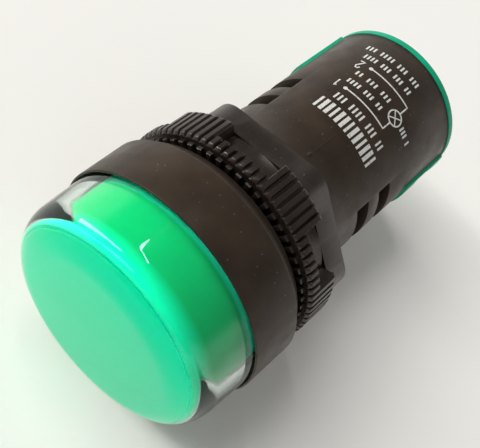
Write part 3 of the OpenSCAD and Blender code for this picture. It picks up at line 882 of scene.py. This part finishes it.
# ---- Parting line and gate mark
# The mould's halves leave a fine raised line along the top and the bottom of the sleeve, and the
# gate leaves a small nub on the top one.
def ridge(name, y0, y1, angle, width, height):
    """A low ridge along the sleeve, with sloping sides."""
    points, faces = [], []
    steps = 24
    for i in range(steps + 1):
        y = y0 + (y1 - y0) * i / steps
        fade = min(1, 4 * min(i, steps - i) / steps)
        lean = 0.18 * math.sin(i * 0.9) / ROUND_THE_SLEEVE * width
        for off, out in ((-width, -0.03), (-width * 0.35, height * fade),
                         (width * 0.35, height * fade), (width, -0.03)):
            points.append(round_axis(sleeve_r + out, angle + lean + off / ROUND_THE_SLEEVE, y))
    for i in range(steps):
        for k in range(4):
            n = (k + 1) % 4
            faces.append((4 * i + k, 4 * i + n, 4 * i + 4 + n, 4 * i + 4 + k))
    faces += [(0, 1, 2, 3), tuple(4 * steps + k for k in range(4))]
    made = linked(name, solid_mesh(name, points, faces))
    shade(made, 60)
    made.data.materials.append(black_plastic)
    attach(made, "lamp")
    return made


ridge("top_parting_line", neck_end + 0.4, 16.6, -1.5, 0.09, 0.05)
ridge("under_parting_line", neck_end + 0.4, sleeve_end - 0.2, 178.5, 0.09, 0.03)
ridge("gate_mark", 10.7, 11.6, -1.6, 0.3, 0.14)

# ---- Gasket
# A black rubber ring pressed into the groove in the bezel's back; it seals against the panel.
def packed_copy(node, name, width=0.0, steps=2):
    """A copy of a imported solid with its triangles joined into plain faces, and eased edges."""
    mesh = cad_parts[node].data.copy()
    mesh.materials.clear()
    shell = bmesh.new()
    shell.from_mesh(mesh)
    bmesh.ops.remove_doubles(shell, verts=shell.verts, dist=2e-6)
    bmesh.ops.dissolve_limit(shell, angle_limit=math.radians(0.6), verts=shell.verts,
                             edges=shell.edges)
    shell.to_mesh(mesh)
    shell.free()
    made = linked(name, mesh)
    if width:
        eased(made, width, steps=steps)
    else:
        shade(made, 40)
    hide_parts(node)
    return made


rubber = moulded_plastic("black_rubber_ring", (0.016, 0.016, 0.016), (0.03, 0.03, 0.029), 0.72,
                         0.8, dust=0.4)
gasket = packed_copy("gasket", "sealing_ring", 0.06)
gasket.data.materials.append(rubber)
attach(gasket, "lamp")

# ---- Terminal block
# A bright green moulding that plugs the end of the sleeve: a thin rim, two bosses in the
# wire notches, and two pockets that hold the terminals.
block_green = moulded_plastic("green_moulding", (0.0, 0.30, 0.16), (0.0, 0.37, 0.21), 0.4, 0.3,
                              specular=0.3)
block = packed_copy("terminal_block", "terminal_block_body", 0.1)
block.data.materials.append(block_green)
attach(block, "lamp")


BOSS_R = 10.76            # clear of the nut's thread, which passes over it


def boss_frame(name, side):
    """The raised frame round one wire hole, standing a little proud of the sleeve."""
    stations = [25.7, 28.4, 32.8, sleeve_end]
    widths = [-2.6, -2.2, -1.1, 0, 1.1, 2.2, 2.6]
    points, faces = [], []
    for radius in (sleeve_r - 0.2, BOSS_R):
        for y in stations:
            points += [round_axis(radius, side * 90 + math.degrees(math.asin(w / radius)), y)
                       for w in widths]
    across, sheet = len(widths), len(widths) * len(stations)
    filled = {(i, k) for i in range(3) for k in range(across - 1) if i != 1 or k in (0, 5)}
    for i, k in filled:
        at = i * across + k
        cell = (at, at + 1, at + across + 1, at + across)
        faces += [cell, tuple(sheet + v for v in cell)]
        for (di, dk), (a, b) in (((-1, 0), (0, 1)), ((1, 0), (2, 3)), ((0, -1), (3, 0)),
                                 ((0, 1), (1, 2))):
            if (i + di, k + dk) not in filled:
                faces.append((cell[a], cell[b], sheet + cell[b], sheet + cell[a]))
    return solid_mesh(name, points, faces)


for side, name in ((-1, "boss_left"), (1, "boss_right")):
    boss = linked(name, boss_frame(name, side))
    eased(boss, 0.12)
    boss.data.materials.append(block_green)
    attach(boss, "lamp")

# ---- Terminals
# In each pocket lies a tapped brass contact with a tail to the driver board. Over it an M3
# screw, bright zinc on steel, presses a square clamp plate down on the wire.
def metal(name, colour, paler, rough, stretch):
    """Bright metal with a cloudy tone and fine rubbed lines along the stretched axis."""
    finish = bpy.data.materials.new(name)
    finish.use_nodes = True
    tree = finish.node_tree
    skin = tree.nodes["Principled BSDF"]
    skin.inputs["Metallic"].default_value = 1.0
    cloud = coords_scaled(tree, 0.8)
    cloud.inputs["Detail"].default_value = 4
    tree.links.new(blend_colour(tree, ramp(tree, cloud.outputs["Fac"], 0.35, 0.0, 0.7, 1.0),
                                colour, paler), skin.inputs["Base Color"])
    place = node_at(tree, "ShaderNodeTexCoord")
    drawn = node_at(tree, "ShaderNodeMapping")
    drawn.inputs["Scale"].default_value = stretch
    lines = node_at(tree, "ShaderNodeTexNoise")
    lines.inputs["Scale"].default_value = 9 / mm
    lines.inputs["Detail"].default_value = 3
    tree.links.new(place.outputs["Object"], drawn.inputs[0])
    tree.links.new(drawn.outputs[0], lines.inputs["Vector"])
    tree.links.new(ramp(tree, lines.outputs["Fac"], 0.3, rough - 0.08, 0.7, rough + 0.12),
                   skin.inputs["Roughness"])
    relief = node_at(tree, "ShaderNodeBump")
    relief.inputs["Strength"].default_value = 0.35
    relief.inputs["Distance"].default_value = 0.01 * mm
    tree.links.new(lines.outputs["Fac"], relief.inputs["Height"])
    tree.links.new(relief.outputs["Normal"], skin.inputs["Normal"])
    return finish


brass = metal("brass_strip", (0.70, 0.52, 0.24), (0.82, 0.66, 0.36), 0.32, (0.12, 1, 1))
zinc = metal("zinc_on_steel", (0.60, 0.61, 0.60), (0.76, 0.76, 0.73), 0.30, (1, 1, 0.15))
screw_zinc = metal("zinc_on_screw", (0.62, 0.62, 0.60), (0.78, 0.77, 0.74), 0.27, (1, 0.3, 1))
for side in ("left", "right"):
    strip = packed_copy("contact_" + side, "contact_strip_" + side, 0.05)
    strip.data.materials.append(brass)
    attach(strip, "lamp")
    plate = packed_copy("clamp_" + side, "clamp_plate_" + side, 0.1)
    plate.data.materials.append(zinc)
    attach(plate, "clamp_" + side)
    screw = packed_copy("screw_" + side, "terminal_screw_" + side, 0.05)
    screw.data.materials.append(screw_zinc)
    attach(screw, "screw_" + side)

# ---- Inside the housing
# White LED board with its LEDs, and the green driver board behind it with its parts and the two
# leads to the terminals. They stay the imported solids, finished as what they are.
def finished(node, finish):
    """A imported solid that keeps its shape, with a new finish."""
    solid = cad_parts[node]
    solid.data.materials.clear()
    solid.data.materials.append(finish)


finished("led_board", moulded_plastic("white_mask", (0.78, 0.78, 0.73), (0.86, 0.86, 0.82), 0.4,
                                      0.2))
finished("led_chips", moulded_plastic("led_bodies", (0.80, 0.72, 0.28), (0.92, 0.86, 0.45), 0.35,
                                      0.2))
finished("driver_board", moulded_plastic("green_mask", (0.03, 0.19, 0.09), (0.05, 0.27, 0.13),
                                         0.35, 0.3))
finished("board_pins", metal("tinned_pins", (0.70, 0.68, 0.62), (0.82, 0.80, 0.75), 0.3,
                             (1, 0.2, 1)))
finished("rectifier", moulded_plastic("black_epoxy", (0.03, 0.03, 0.03), (0.05, 0.05, 0.05), 0.5,
                                      0.6))
finished("capacitor", moulded_plastic("blue_sleeve", (0.05, 0.09, 0.26), (0.08, 0.13, 0.32), 0.3,
                                      0.2))
finished("resistor", moulded_plastic("tan_lacquer", (0.52, 0.44, 0.28), (0.64, 0.57, 0.40), 0.35,
                                     0.3))
finished("lead_wires", moulded_plastic("red_insulation", (0.50, 0.04, 0.03), (0.62, 0.07, 0.05),
                                       0.4, 0.3))

# ---- Bounds
# The box of the dressed lamp is measured, as that of the imported solids was after the import.
low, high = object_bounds()
